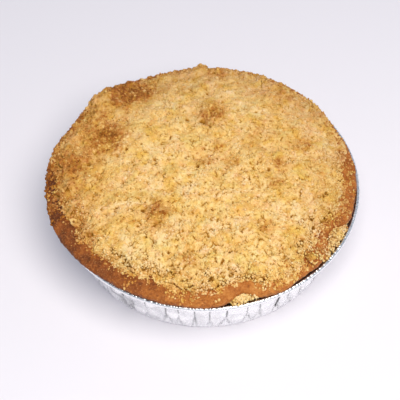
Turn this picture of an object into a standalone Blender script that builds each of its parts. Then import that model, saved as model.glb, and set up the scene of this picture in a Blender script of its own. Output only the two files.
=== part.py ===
"""An apple crumble: a round pie with a heap of baked crumbs on top, in its pleated foil dish.

Metres, +Z up. The origin is the centre of the dish's flat base, which stands on the table.
The front is -Y. Angles run anticlockwise from +X, so the front is at 270 degrees.
"""

import math
import random

import bmesh
import bpy
from mathutils import Matrix, Vector, noise

# The foil dish
RIM_RADIUS = 0.0800  # out to the edge of the rolled rim
BEAD_RADIUS = 0.0013  # half the thickness of the rolled rim
BEAD_HEIGHT = 0.0311  # middle of the rolled rim
BASE_RADIUS = 0.0694  # where the base turns up into the wall
CORNER_RADIUS = 0.0014
WALL_TOP_RADIUS = 0.0756
WALL_TOP_HEIGHT = 0.0297
FOIL = 0.0003
PLEATS = 54
PLEAT_DEPTH = 0.0011
PLEAT_DRIFT = 0.25  # share of a pleat's width that its crease may lie off its even place
COLUMNS_A_PLEAT = 3
BEAD_CORNERS_DEG = (-112, -26, 42, 115)

# The pastry case, filled to the top, with a rolled edge that lies over the dish's rim
GAP = 0.0003  # kept between touching pieces
CASE_COLUMNS = 72
CREST_RADIUS = 0.0720  # top of the rolled edge
CREST_HEIGHT = 0.0385
LIP_RADIUS = 0.0795  # outermost point of the rolled edge
LIP_FOOT_HEIGHT = 0.0330  # underside of the rolled edge
ROLL_FULLNESS = 2.6  # 2 is an ellipse, and more is squarer
ROLL_STEPS = 7
FILLING_HEIGHT = 0.0360  # top of the pie under the crumbs
FILLING_RADIUS = 0.0600
LEVEL_RADIUS = 0.0500  # inside this the pie is even

# The pie isn't quite round, and sits a little towards the left of its dish
SHIFT = 0.0019
SHIFT_DEG = 210
BULGES = (
    (204, 24, 0.0013),
    (243, 26, -0.0008),
    (298, 8, 0.0004),
    (309, 10, -0.0012),
    (345, 28, -0.0005),
    (24, 15, -0.0013),
    (95, 46, -0.0010),
    (114, 9, -0.0008),
    (154, 22, -0.0028),
)  # angle, half width in degrees, how far out
DENTS = ((284, 9.5, 0.0050), (329, 11, 0.0068))  # angle, half width in degrees, how far in
PUFFS = ((172, 60, 0.0024), (110, 30, -0.0010), (60, 40, 0.0004))  # angle, half width, how far up
UNEVEN_RADIUS = 0.0003
UNEVEN_HEIGHT = 0.0007
UNEVEN_WAVES = 2.2  # uneven places in a radian of the edge

# The crumble topping
TOPPING_RINGS = 28
TOPPING_RADIUS = 0.0710
TOPPING_CENTRE_HEIGHT = 0.0486
TOPPING_EDGE = 0.0016  # thickness at its edge
TOPPING_SLOPE = 0.0085  # how far in from the edge the crumbs reach their full height
DOME_RADIUS = 0.0760
DOME_FALL = 0.0078  # from the middle to the dome's radius
DOME_POWER = 2.4
SPREADS = (
    (190, 15, 0.0028),
    (208, 7, -0.0050),
    (220, 5, -0.0026),
    (248, 11, -0.0044),
    (266, 9, 0.0010),
    (284, 8, -0.0038),
    (302, 14, 0.0072),
    (325, 12, -0.0048),
    (350, 14, 0.0012),
    (40, 36, 0.0050),
    (88, 46, 0.0056),
    (137, 22, 0.0078),
    (168, 20, 0.0044),
)  # angle, half width in degrees, how far out the crumbs reach there
RAGGED_EDGE = 0.0012
RAGGED_WAVES = 9.0
MOUNDS = (
    (-0.050, 0.050, 0.0022, 0.012),
    (-0.030, 0.024, 0.0012, 0.020),
    (0.004, 0.040, 0.0018, 0.005),
    (0.003, 0.066, 0.0012, 0.008),
    (-0.006, 0.036, -0.0024, 0.004),
    (-0.003, 0.004, -0.0020, 0.004),
    (-0.029, -0.030, -0.0016, 0.004),
    (0.002, -0.063, 0.0010, 0.007),
    (0.046, -0.047, -0.0012, 0.003),
)  # x, y, height, spread of the larger heaps and hollows
BUMP_HEIGHT = 0.0013
BUMP_WAVES = 170.0  # bumps in a metre
SMALL_BUMP_HEIGHT = 0.0007
SMALL_BUMP_WAVES = 390.0
UNDERSIDE_SLACK = 0.0006  # more room than the gap where the pastry slopes
EDGE_CORNERS = 72  # round the underside, near its edge
INNER_CORNERS = 36

# Larger clumps of crumbs that lie on the rolled edge, and in the gap that it leaves at the rim
CLUMPS = (
    (0.0262, -0.0668, 0.0388, 0.0040),
    (0.0279, -0.0694, 0.0377, 0.0035),
    (0.0522, -0.0532, 0.0384, 0.0042),
    (0.0566, -0.0508, 0.0366, 0.0042),
    (0.0596, -0.0464, 0.0343, 0.0037),
    (0.0625, -0.0412, 0.0346, 0.0043),
    (0.0659, -0.0364, 0.0343, 0.0037),
    (0.0680, -0.0332, 0.0338, 0.0025),
)  # x, y, z of the middle, radius
CLUMP_FLATNESS = 0.72
CLUMP_ROUGHNESS = 0.55  # share of its radius
CLUMP_ROUGH_WAVES = 330.0  # in a metre


def smooth_step(low, high, value):
    """0 up to low, 1 from high on, and a smooth rise between them."""
    share = min(max((value - low) / (high - low), 0.0), 1.0)
    return share * share * (3.0 - 2.0 * share)


def stretch(angle, places):
    """The sum of the humps (centre, half width, size) that reach this angle of the pie's edge."""
    total = 0.0
    for centre, half_width, size in places:
        away = abs((math.degrees(angle) - centre + 180.0) % 360.0 - 180.0)
        total += size * (1.0 - smooth_step(0.0, half_width, away))
    return total


def round_the_edge(angle, waves, seed):
    """A smooth uneven value from -1 to 1 that runs round the pie's edge."""
    return noise.noise(Vector((math.cos(angle) * waves, math.sin(angle) * waves, seed)))


def polar(radius, angle, height):
    return Vector((radius * math.cos(angle), radius * math.sin(angle), height))


def crust_height(radius):
    """Top of the pastry case at a radius, before it is made uneven."""
    if radius >= CREST_RADIUS:
        share = min((radius - CREST_RADIUS) / (LIP_RADIUS - CREST_RADIUS), 1.0)
        half = (CREST_HEIGHT - LIP_FOOT_HEIGHT) / 2
        return CREST_HEIGHT - half + half * (1.0 - share**ROLL_FULLNESS) ** (1.0 / ROLL_FULLNESS)
    rise = smooth_step(FILLING_RADIUS, CREST_RADIUS, radius)
    return FILLING_HEIGHT + (CREST_HEIGHT - FILLING_HEIGHT) * rise


def settle(point):
    """Moves a point of the round pie to where it lies in the real uneven one."""
    radius = math.hypot(point.x, point.y)
    angle = math.atan2(point.y, point.x)
    reach = smooth_step(LEVEL_RADIUS, CREST_RADIUS, radius)
    above_rim = smooth_step(BEAD_HEIGHT, LIP_FOOT_HEIGHT + 0.0010, point.z)
    above_wall = smooth_step(WALL_TOP_HEIGHT - 0.0008, WALL_TOP_HEIGHT + 0.0004, point.z)
    at_lip = smooth_step(CREST_RADIUS - 0.006, LIP_RADIUS, radius)
    out = SHIFT * math.cos(angle - math.radians(SHIFT_DEG)) + stretch(angle, BULGES)
    out += UNEVEN_RADIUS * round_the_edge(angle, UNEVEN_WAVES, 3.0)
    up = stretch(angle, PUFFS) + UNEVEN_HEIGHT * round_the_edge(angle, UNEVEN_WAVES, 7.0)
    moved = radius + out * reach * above_rim - stretch(angle, DENTS) * at_lip * above_wall
    return polar(moved, angle, point.z + up * reach * above_rim)


def wall_radius(height):
    """Outside radius of the foil wall between its creases."""
    share = (height - CORNER_RADIUS) / (WALL_TOP_HEIGHT - CORNER_RADIUS)
    return BASE_RADIUS + (WALL_TOP_RADIUS - BASE_RADIUS) * share


def dish_profile():
    """Radius and height of each corner of the foil's section: underside, wall, rolled rim, inside."""
    low, high = 0.0050, 0.0255
    bead_middle = RIM_RADIUS - BEAD_RADIUS
    outside = [
        (0.0, 0.0),
        (BASE_RADIUS - CORNER_RADIUS, 0.0),
        (BASE_RADIUS, CORNER_RADIUS),
        (wall_radius(low), low),
        (wall_radius(high), high),
        (WALL_TOP_RADIUS, WALL_TOP_HEIGHT),
    ]
    bead = []
    for degrees in BEAD_CORNERS_DEG:
        turn = math.radians(degrees)
        radius = bead_middle + BEAD_RADIUS * math.cos(turn)
        bead.append((radius, BEAD_HEIGHT + BEAD_RADIUS * math.sin(turn)))
    inside = [
        (WALL_TOP_RADIUS - FOIL * 0.6, WALL_TOP_HEIGHT + FOIL * 1.2),
        (wall_radius(high) - FOIL, high),
        (wall_radius(low) - FOIL, low),
        (BASE_RADIUS - FOIL, CORNER_RADIUS + FOIL * 0.4),
        (BASE_RADIUS - CORNER_RADIUS, FOIL),
        (0.0, FOIL),
    ]
    return outside + bead + inside


def case_profile():
    """Radius and height of each corner of the pastry case's section: underside, rolled edge, top."""
    clear = FOIL + PLEAT_DEPTH + GAP
    floor = FOIL + GAP
    shoulder = WALL_TOP_HEIGHT - 0.0010
    section = [
        (0.0, floor),
        (BASE_RADIUS - CORNER_RADIUS - clear, floor),
        (wall_radius(0.004) - clear, 0.004),
        (wall_radius(shoulder) - clear, shoulder),
        (WALL_TOP_RADIUS - 0.0008, WALL_TOP_HEIGHT + FOIL * 2 + GAP * 2),
    ]
    half = (CREST_HEIGHT - LIP_FOOT_HEIGHT) / 2
    for step in range(ROLL_STEPS + 1):
        turn = math.radians(-72 + 162 * step / ROLL_STEPS)
        across = math.copysign(abs(math.cos(turn)) ** (2 / ROLL_FULLNESS), math.cos(turn))
        upward = math.copysign(abs(math.sin(turn)) ** (2 / ROLL_FULLNESS), math.sin(turn))
        radius = CREST_RADIUS + (LIP_RADIUS - CREST_RADIUS) * max(across, 0.0)
        section.append((radius, CREST_HEIGHT - half + half * upward))
    for radius in (0.0690, 0.0645, FILLING_RADIUS, LEVEL_RADIUS):
        section.append((radius, crust_height(radius)))
    section.append((0.0, FILLING_HEIGHT))
    return section


def spin_profile(section, columns):
    """A closed mesh turned from a section that starts and ends on the axis."""
    mesh = bmesh.new()
    corners = [mesh.verts.new((radius, 0.0, height)) for radius, height in section]
    edges = [mesh.edges.new(pair) for pair in zip(corners, corners[1:])]
    bmesh.ops.spin(
        mesh,
        geom=corners + edges,
        cent=(0, 0, 0),
        axis=(0, 0, 1),
        angle=2 * math.pi,
        steps=columns,
        use_merge=True,
    )
    bmesh.ops.remove_doubles(mesh, verts=mesh.verts, dist=1e-6)
    bmesh.ops.recalc_face_normals(mesh, faces=mesh.faces)
    return mesh


def make_material(name, colour, roughness, metallic=0.0):
    material = bpy.data.materials.new(name)
    material.use_nodes = True
    shader = material.node_tree.nodes["Principled BSDF"]
    shader.inputs["Base Color"].default_value = (*colour, 1.0)
    shader.inputs["Roughness"].default_value = roughness
    shader.inputs["Metallic"].default_value = metallic
    material.diffuse_color = (*colour, 1.0)
    return material


def add_object(name, mesh, material, sharp_deg):
    """Turns a bmesh into a named object, shaded smooth but for its sharp edges."""
    bmesh.ops.triangulate(mesh, faces=mesh.faces)
    data = bpy.data.meshes.new(name)
    mesh.to_mesh(data)
    mesh.free()
    data.materials.append(material)
    data.shade_smooth()
    data.set_sharp_from_angle(angle=math.radians(sharp_deg))
    made = bpy.data.objects.new(name, data)
    bpy.context.scene.collection.objects.link(made)
    return made


def combine(target, others, operation):
    """Applies one Boolean of a collection of objects to the target, and removes those objects."""
    group = bpy.data.collections.new(target.name + "_others")
    bpy.context.scene.collection.children.link(group)
    for other in others:
        bpy.context.scene.collection.objects.unlink(other)
        group.objects.link(other)
    cut = target.modifiers.new("combine", "BOOLEAN")
    cut.operation = operation
    cut.operand_type = "COLLECTION"
    cut.collection = group
    cut.solver = "EXACT"
    graph = bpy.context.evaluated_depsgraph_get()
    result = bpy.data.meshes.new_from_object(target.evaluated_get(graph))
    target.modifiers.remove(cut)
    target.data = result
    for other in others:
        bpy.data.objects.remove(other, do_unlink=True)
    bpy.data.collections.remove(group)


def make_foil_dish():
    """The pressed foil dish: flat base, pleated wall, short flange and rolled rim."""
    mesh = spin_profile(dish_profile(), PLEATS * COLUMNS_A_PLEAT)
    draw = random.Random(11)
    depths = [draw.uniform(0.65, 1.0) for _ in range(PLEATS)]
    drifts = [draw.uniform(-PLEAT_DRIFT, PLEAT_DRIFT) for _ in range(PLEATS)]
    pleat_angle = 2 * math.pi / PLEATS
    for corner in mesh.verts:
        radius = math.hypot(corner.co.x, corner.co.y)
        if radius < BASE_RADIUS - CORNER_RADIUS * 1.2 or corner.co.z > WALL_TOP_HEIGHT - 0.001:
            continue
        angle = math.atan2(corner.co.y, corner.co.x) % (2 * math.pi)
        column = round(angle / pleat_angle * COLUMNS_A_PLEAT)
        pleat = round(column / COLUMNS_A_PLEAT) % PLEATS
        angle = column / COLUMNS_A_PLEAT * pleat_angle
        if column % COLUMNS_A_PLEAT == 0:
            on_wall = smooth_step(0.0, 0.005, corner.co.z)
            radius -= PLEAT_DEPTH * depths[pleat] * on_wall
            angle += drifts[pleat] * pleat_angle * on_wall
        corner.co = polar(radius, angle, corner.co.z)
    foil = make_material("foil", (0.80, 0.81, 0.84), 0.30, 1.0)
    return add_object("foil_dish", mesh, foil, 25)


def make_pastry_case():
    """The baked case with its filling, as one solid: its rolled edge shows round the crumbs."""
    mesh = spin_profile(case_profile(), CASE_COLUMNS)
    for corner in mesh.verts:
        corner.co = settle(corner.co)
    pastry = make_material("pastry", (0.50, 0.21, 0.06), 0.55)
    return add_object("pastry_case", mesh, pastry, 50)


def topping_edge_radius(angle):
    """How far out the crumbs reach at an angle of the round pie."""
    ragged = RAGGED_EDGE * round_the_edge(angle, RAGGED_WAVES, 5.0)
    return TOPPING_RADIUS + stretch(angle, SPREADS) + ragged


def topping_height(radius, angle):
    """Top of the crumbs at a place: a low dome that slopes off at its edge, with heaps and bumps."""
    inside = min((topping_edge_radius(angle) - radius) / TOPPING_SLOPE, 1.0)
    full = math.sqrt(max(1.0 - (1.0 - inside) ** 2, 0.0))
    dome = TOPPING_CENTRE_HEIGHT - DOME_FALL * (radius / DOME_RADIUS) ** DOME_POWER
    foot = crust_height(radius) + TOPPING_EDGE
    height = foot + max(dome - foot, 0.0) * full
    place = polar(radius, angle, 0.009)
    for mound_x, mound_y, mound_height, spread in MOUNDS:
        away = math.hypot(place.x - mound_x, place.y - mound_y) / spread
        height += mound_height * math.exp(-away * away)
    bumps = BUMP_HEIGHT * noise.noise(place * BUMP_WAVES)
    bumps += SMALL_BUMP_HEIGHT * noise.noise(place * SMALL_BUMP_WAVES)
    return height + bumps * (0.35 + 0.65 * full)


def topping_cover():
    """The top of the crumbs: an even net of triangles drawn on a hexagon, then spread into a circle."""
    mesh = bmesh.new()
    bmesh.ops.create_circle(mesh, cap_ends=True, cap_tris=True, segments=6, radius=1.0)
    bmesh.ops.subdivide_edges(mesh, edges=mesh.edges, cuts=TOPPING_RINGS - 1, use_grid_fill=True)
    bmesh.ops.triangulate(mesh, faces=mesh.faces)
    sector = math.radians(60)
    half = sector / 2
    for corner in mesh.verts:
        across = math.hypot(corner.co.x, corner.co.y)
        angle = math.atan2(corner.co.y, corner.co.x)
        past_corner = (angle - math.pi / 2) % sector
        share = min(across * math.cos(past_corner - half) / math.cos(half), 1.0)
        along = 0.5 + math.tan(past_corner - half) / (2 * math.tan(half))
        if across > 1e-6:
            angle += along * sector - past_corner
        radius = share * topping_edge_radius(angle)
        corner.co = polar(radius, angle, topping_height(radius, angle))
    return mesh


def underside_loop(mesh, corners, radius_at):
    """A loop on the topping's underside, just clear of the pastry. radius_at gives its radius."""
    loop = []
    for step in range(corners):
        angle = 2 * math.pi * step / corners
        radius = radius_at(angle)
        height = crust_height(radius - UNDERSIDE_SLACK) + GAP + UNDERSIDE_SLACK / 2
        loop.append(mesh.verts.new(polar(radius, angle, height)))
    return [mesh.edges.new((loop[step - 1], loop[step])) for step in range(corners)]


def close_underside(mesh):
    """Closes the crumbs below: a short edge, then rings that follow the pastry to the middle."""
    loops = [[edge for edge in mesh.edges if edge.is_boundary]]
    loops.append(underside_loop(mesh, 6 * TOPPING_RINGS, topping_edge_radius))
    for share in (0.12, 0.34, 0.66):
        loops.append(underside_loop(mesh, EDGE_CORNERS, lambda angle: between(angle, share)))
    loops.append(underside_loop(mesh, INNER_CORNERS, lambda angle: FILLING_RADIUS))
    loops.append(underside_loop(mesh, INNER_CORNERS, lambda angle: LEVEL_RADIUS))
    for outer, inner in zip(loops, loops[1:]):
        bmesh.ops.bridge_loops(mesh, edges=outer + inner)
    centre = mesh.verts.new((0.0, 0.0, FILLING_HEIGHT + GAP))
    for edge in loops[-1]:
        mesh.faces.new((*edge.verts, centre))


def between(angle, share):
    """The radius at a share of the way from the topping's edge in to where the filling levels off."""
    edge = topping_edge_radius(angle)
    return edge + (FILLING_RADIUS - edge) * share


def make_clump(place, radius, seed):
    """One rough lump of crumbs, cut flat where it would sink into the rolled rim."""
    mesh = bmesh.new()
    bmesh.ops.create_icosphere(mesh, subdivisions=2, radius=radius)
    for corner in mesh.verts:
        rough = noise.noise(corner.co * CLUMP_ROUGH_WAVES + Vector((seed * 5.0, 0.0, 0.0)))
        corner.co *= 1.0 + CLUMP_ROUGHNESS * rough
        corner.co.z *= CLUMP_FLATNESS
    bmesh.ops.transform(mesh, matrix=Matrix.Translation(place), verts=mesh.verts)
    lowest = BEAD_HEIGHT + BEAD_RADIUS + GAP
    cut = bmesh.ops.bisect_plane(
        mesh,
        geom=mesh.verts[:] + mesh.edges[:] + mesh.faces[:],
        plane_co=(0, 0, lowest),
        plane_no=(0, 0, -1),
        clear_outer=True,
    )
    rim = [part for part in cut["geom_cut"] if isinstance(part, bmesh.types.BMEdge)]
    if rim:
        bmesh.ops.contextual_create(mesh, geom=rim)
    return mesh


def grown_case(case):
    """The pastry case swollen by the gap, to trim the clumps that rest on it."""
    mesh = bmesh.new()
    mesh.from_mesh(case.data)
    mesh.normal_update()
    moves = [corner.normal * GAP * 1.15 for corner in mesh.verts]
    for corner, move in zip(mesh.verts, moves):
        corner.co += move
    return mesh


def make_crumble_topping(case):
    """The heap of crumbs: a domed, bumpy layer with a ragged edge, and clumps on the rolled edge."""
    crumble = make_material("crumble", (0.80, 0.48, 0.16), 0.85)
    mesh = topping_cover()
    close_underside(mesh)
    for corner in mesh.verts:
        corner.co = settle(corner.co)
    bmesh.ops.recalc_face_normals(mesh, faces=mesh.faces)
    topping = add_object("crumble_topping", mesh, crumble, 60)
    clumps = []
    for seed, (x, y, z, radius) in enumerate(CLUMPS):
        clumps.append(add_object(f"clump_{seed}", make_clump((x, y, z), radius, seed), crumble, 60))
    combine(clumps[0], clumps[1:], "UNION")
    combine(clumps[0], [add_object("trim", grown_case(case), crumble, 60)], "DIFFERENCE")
    combine(topping, clumps[:1], "UNION")


def clear_scene():
    for old in list(bpy.data.objects):
        bpy.data.objects.remove(old, do_unlink=True)


def main():
    clear_scene()
    make_foil_dish()
    case = make_pastry_case()
    make_crumble_topping(case)


main()
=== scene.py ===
"""Looks of the apple crumble pie: its foil, its browned crust and its crumbs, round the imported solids.

Metres, +Z up. The front is -Y. Angles run anticlockwise from +X, so the front is at 270 degrees.
"""

import math
import random

import bmesh
import bpy
import numpy as np
from mathutils import Matrix, noise
from mathutils.bvhtree import BVHTree


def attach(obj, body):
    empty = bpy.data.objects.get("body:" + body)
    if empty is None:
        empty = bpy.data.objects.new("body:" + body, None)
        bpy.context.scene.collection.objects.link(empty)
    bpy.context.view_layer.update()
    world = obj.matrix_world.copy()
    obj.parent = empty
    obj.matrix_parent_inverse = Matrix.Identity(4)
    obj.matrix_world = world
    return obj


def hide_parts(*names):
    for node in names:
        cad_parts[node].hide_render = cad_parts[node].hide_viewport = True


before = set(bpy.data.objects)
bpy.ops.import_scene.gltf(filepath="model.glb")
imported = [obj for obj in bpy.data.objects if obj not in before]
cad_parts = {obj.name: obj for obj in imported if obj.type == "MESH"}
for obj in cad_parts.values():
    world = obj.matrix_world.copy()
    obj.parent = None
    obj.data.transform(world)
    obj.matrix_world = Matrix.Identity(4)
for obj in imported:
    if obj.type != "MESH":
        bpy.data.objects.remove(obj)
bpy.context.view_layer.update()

# The camera of the photo, which is 400 x 400 pixels
PHOTO_PIXELS = 400
FOCAL_PIXELS = 1157.0
SENSOR_MM = 36.0
CAMERA_DISTANCE = 0.60  # from the middle of the rim
CAMERA_ELEVATION_DEG = 50.2
RIM_CENTRE_PIXEL = (204.9, 182.3)
RIM_HEIGHT = 0.0310

# The lamp, the room and the floor
LAMP_PLACE = (0.145, -0.340, 0.768)
LAMP_TARGET = (0.0, -0.02, 0.03)
LAMP_SIZE = 0.68
LAMP_POWER = 6.95
LAMP_COLOUR = (1.0, 0.985, 0.94)
ROOM_COLOUR = (0.875, 0.955, 1.10)
WALL_LIGHT = 0.60
CEILING_LIGHT = 0.335
FLOOR_HALF = 2.0
FLOOR_COLOUR = (0.84, 0.795, 0.83)

# The foil dish
RIM_RADIUS = 0.0800
BEAD_RADIUS = 0.0013
BEAD_HEIGHT = 0.0311
BASE_RADIUS = 0.0694
CORNER_RADIUS = 0.0014
WALL_TOP_RADIUS = 0.0756
WALL_TOP_HEIGHT = 0.0297
FOIL = 0.0003
FIRST_RING = 0.030  # radius of the first ring round the middle of a flat base
PLEATS = 54
PLEAT_DEPTH = 0.0011
PLEAT_DRIFT = 0.25
PANEL_COLUMNS = 18
DISH_COLUMNS = PLEATS * PANEL_COLUMNS
CREASE_CROWDING = 0.055
FORK_DEPTH = 0.00095
FOIL_DENTS = 300
DEEPEST_PRESS = 0.0013
DEEPEST_SWELL = 0.0004
CRINKLE = 0.00036
FINE_CRINKLE = 0.00005
NOTCH_DEPTH = 0.28  # share of the bead's radius
NOTCH_FACING_DEG = 66.0  # the notches are deepest where the bead faces up and out
WALL_SHADE_PATCHES = ((232, 28, 0.44),)  # angle, half width, how much more painted shade
RIM_LESS_SHADED = ((345, 62, 0.62),)  # angle, half width, how much less painted shade its notches get

# The pastry case
GAP = 0.0003
CREST_RADIUS = 0.0720
CREST_HEIGHT = 0.0385
LIP_RADIUS = 0.0795
LIP_FOOT_HEIGHT = 0.0330
ROLL_FULLNESS = 2.6
FILLING_HEIGHT = 0.0360
FILLING_RADIUS = 0.0600
LEVEL_RADIUS = 0.0500
ROLL_START = (0.0757, 0.0312)  # radius and height
SHIFT = 0.0019
SHIFT_DEG = 210
BULGES = (
    (204, 24, 0.0013), (243, 26, -0.0008), (298, 8, 0.0004), (309, 10, -0.0004), (345, 28, -0.0005),
    (24, 15, -0.0013), (95, 46, -0.0010), (114, 9, -0.0008), (154, 22, -0.0028),
)  # angle, half width, how far out
DENTS = ((283.4, 8.2, 0.0046), (329, 11, 0.0064))  # angle, half width, depth
PUFFS = ((172, 60, 0.0024), (110, 30, -0.0010), (60, 40, 0.0004))  # angle, half width, how far up
UNEVEN_RADIUS = 0.0003
UNEVEN_HEIGHT = 0.0007
UNEVEN_WAVES = 2.2
CASE_COLUMNS = 792
MEAL_SPACING = 0.0014
CRUST_BAKE = 0.34
CRUST_BROWNING_AND_SHADE = (
    (192, 30, 0.50), (224, 40, 0.34), (246, 18, 0.13), (288, 20, -0.24), (352, 40, 0.10), (90, 90, 0.10),
)  # angle, half width, how much browner: part baking, part painted shade on the left and painted light at the front
SCORCHED = (
    (-0.0770, 0.0143, 0.0022, 0.45), (-0.0768, -0.0060, 0.0024, 0.50), (-0.0749, -0.0133, 0.0022, 0.45),
    (-0.0735, -0.0200, 0.0024, 0.25), (-0.0714, -0.0256, 0.0020, 0.40), (-0.0678, -0.0275, 0.0020, 0.40),
    (-0.0646, -0.0306, 0.0020, 0.35),
)  # x, y, spread, how much browner

# The crumble topping
TOPPING_RADIUS = 0.0710
TOPPING_CENTRE_HEIGHT = 0.0486
TOPPING_EDGE = 0.0016
TOPPING_SLOPE = 0.0085
DOME_RADIUS = 0.0760
DOME_FALL = 0.0078
DOME_POWER = 2.4
SPREADS = (
    (190, 15, 0.0028), (208, 7, -0.0050), (220, 5, -0.0026), (232, 11, -0.0013), (248, 11, -0.0044),
    (266, 9, 0.0010), (284, 8, -0.0038), (302, 14, 0.0072), (325, 12, -0.0048), (350, 14, 0.0012),
    (40, 36, 0.0050), (88, 46, 0.0056), (137, 22, 0.0078), (168, 20, 0.0044),
)  # angle, half width, how far out
RAGGED_EDGE = 0.0012
RAGGED_WAVES = 9.0
MOUNDS = (
    (-0.050, 0.050, 0.012, 0.0022), (-0.030, 0.024, 0.020, 0.0012), (0.004, 0.040, 0.005, 0.0018),
    (0.003, 0.066, 0.008, 0.0012), (-0.006, 0.036, 0.004, -0.0024), (-0.003, 0.004, 0.004, -0.0020),
    (-0.029, -0.030, 0.004, -0.0016), (0.002, -0.063, 0.007, 0.0010), (0.046, -0.047, 0.003, -0.0012),
)  # x, y, spread, height
BUMP_HEIGHT = 0.0013
BUMP_WAVES = 170.0
SMALL_BUMP_HEIGHT = 0.0007
SMALL_BUMP_WAVES = 390.0
CLUMPS = (
    (0.0262, -0.0668, 0.0388, 0.0040), (0.0279, -0.0694, 0.0377, 0.0035), (0.0522, -0.0532, 0.0384, 0.0042),
    (0.0566, -0.0508, 0.0366, 0.0042), (0.0596, -0.0464, 0.0343, 0.0037), (0.0625, -0.0412, 0.0346, 0.0043),
    (0.0659, -0.0364, 0.0343, 0.0037), (0.0680, -0.0332, 0.0338, 0.0025),
)  # x, y, z, radius
CLUMP_FLATNESS = 0.72

# The heap's relief, finer than its solid
HEAP_RINGS = 124
EDGE_CROWDING = 0.09
SPILL_RADIUS = 0.0780  # at the back the heap spills over the crust, as far out as this
SPILL_MIDDLE_DEG = 95
SPILL_HALF_DEG = 92
LUMP_SPACING = 0.0062
COARSE_SPACING = 0.0029
FINE_SPACING = 0.0016
DEEPEST_GAP = 0.0024
DEEPEST_HOLE = 0.0026
DARKEST_HOLE = 0.0017  # holes of this depth and more get the darkest painted pit shade
DARKEST_HOLLOW = 0.00045
UNDERSIDE = ((0.0002, 0.0006), (0.0010, 0.0012), (0.008, 0.0012), (0.018, 0.0012))  # inward, sunk
LUMPS = (
    (0.0040, 0.0340, 0.0050, 0.0014), (-0.0240, -0.0300, 0.0040, 0.0012), (-0.0090, -0.0570, 0.0060, 0.0010),
    (-0.0046, 0.0722, 0.0040, 0.0024), (-0.0010, 0.0735, 0.0030, 0.0018), (-0.0105, 0.0690, 0.0030, 0.0012),
    (-0.0235, 0.0655, 0.0028, 0.0026), (-0.0190, 0.0675, 0.0030, 0.0010), (0.0130, 0.0715, 0.0034, 0.0012),
    (0.0240, 0.0670, 0.0030, 0.0012), (-0.0400, 0.0585, 0.0030, 0.0032), (-0.0320, 0.0630, 0.0026, 0.0012),
    (-0.0520, 0.0510, 0.0036, 0.0016), (-0.0600, 0.0455, 0.0034, 0.0024),
)  # x, y, radius, height of the lumps that stand out of the heap, most along the back edge

# The pits and cracks between the crumbs, drawn on a square field that the heap's mesh reads
FIELD_STEP = 0.0002
FIELD_HALF = 0.082
FIELD_SIZE = int(2 * FIELD_HALF / FIELD_STEP) + 1
PIT_COUNT = 430
CRACK_COUNT = 640
CRACK_STEP = 0.0005
BROWNED_PITS = 5000  # pits in a fully browned place, for each metre of its spread
DUG_RADIUS = 0.0755
PITS = (
    (-0.0010, 0.0286, 0.0013, 0.0030), (-0.0090, 0.0298, 0.0010, 0.0024), (0.0325, -0.0046, 0.0009, 0.0020),
    (0.0458, -0.0484, 0.0009, 0.0022), (0.0445, -0.0228, 0.0008, 0.0018), (0.0627, -0.0178, 0.0010, 0.0020),
    (-0.0306, -0.0304, 0.0010, 0.0022), (-0.0280, -0.0360, 0.0009, 0.0022), (-0.0247, -0.04, 0.0009, 0.0022),
    (-0.0040, -0.0030, 0.0010, 0.0018), (-0.0590, 0.0010, 0.0010, 0.0020), (-0.0400, 0.0090, 0.0009, 0.0018),
)  # x, y, radius, depth of the deepest dark holes

# How browned the crumbs are
BROWNED = (
    (-0.0495, 0.0195, 0.0080, 0.76), (-0.0440, 0.0110, 0.0045, 0.28), (-0.0405, 0.0505, 0.0088, 0.84),
    (-0.0300, 0.0530, 0.0060, 0.22), (-0.0570, 0.0080, 0.0060, 0.20), (-0.0575, -0.0415, 0.0045, 0.20),
    (-0.0580, 0.0340, 0.0085, 0.20), (0.0040, 0.0340, 0.0056, 0.78), (0.0000, 0.0270, 0.0040, 0.24),
    (0.0000, 0.0004, 0.0040, 0.42), (0.0070, 0.0100, 0.0030, 0.34), (0.0140, -0.0005, 0.0040, 0.28),
    (0.0375, -0.0013, 0.0035, 0.44), (0.0355, -0.0141, 0.0040, 0.38), (0.0515, 0.0132, 0.0045, 0.46),
    (0.0297, -0.0397, 0.0036, 0.44), (-0.0240, -0.0310, 0.0050, 0.62), (-0.0250, -0.0400, 0.0034, 0.36),
    (-0.0090, -0.0584, 0.0055, 0.24), (0.0400, 0.0500, 0.0060, 0.18), (0.0300, 0.0250, 0.0060, 0.14),
    (-0.0660, 0.0000, 0.0060, 0.28), (0.0060, 0.0680, 0.0060, 0.18), (0.0610, -0.0310, 0.0050, 0.14),
    (0.0270, 0.0150, 0.0100, 0.12), (0.0080, -0.0130, 0.0080, 0.08),
)  # x, y, spread, how much browner
PALE = (
    (-0.020, 0.006, 0.014, -0.06), (0.000, -0.024, 0.016, -0.14), (-0.030, -0.052, 0.012, -0.17),
    (0.020, 0.040, 0.010, -0.08), (0.060, 0.020, 0.008, -0.08), (0.020, -0.060, 0.010, -0.12),
    (0.046, -0.034, 0.012, -0.14), (0.0660, -0.0400, 0.0100, -0.16), (0.0200, -0.0760, 0.0060, -0.16),
)  # x, y, spread, how much browner
EDGE_TONES = (
    (140, 70, 0.13), (190, 42, 0.26), (85, 60, 0.13), (25, 60, 0.08), (262, 64, -0.12),
)  # angle, half width, how much browner towards the edge
CRUMB_BAKE = 0.20
MOST_BROWNED = 0.6

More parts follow.
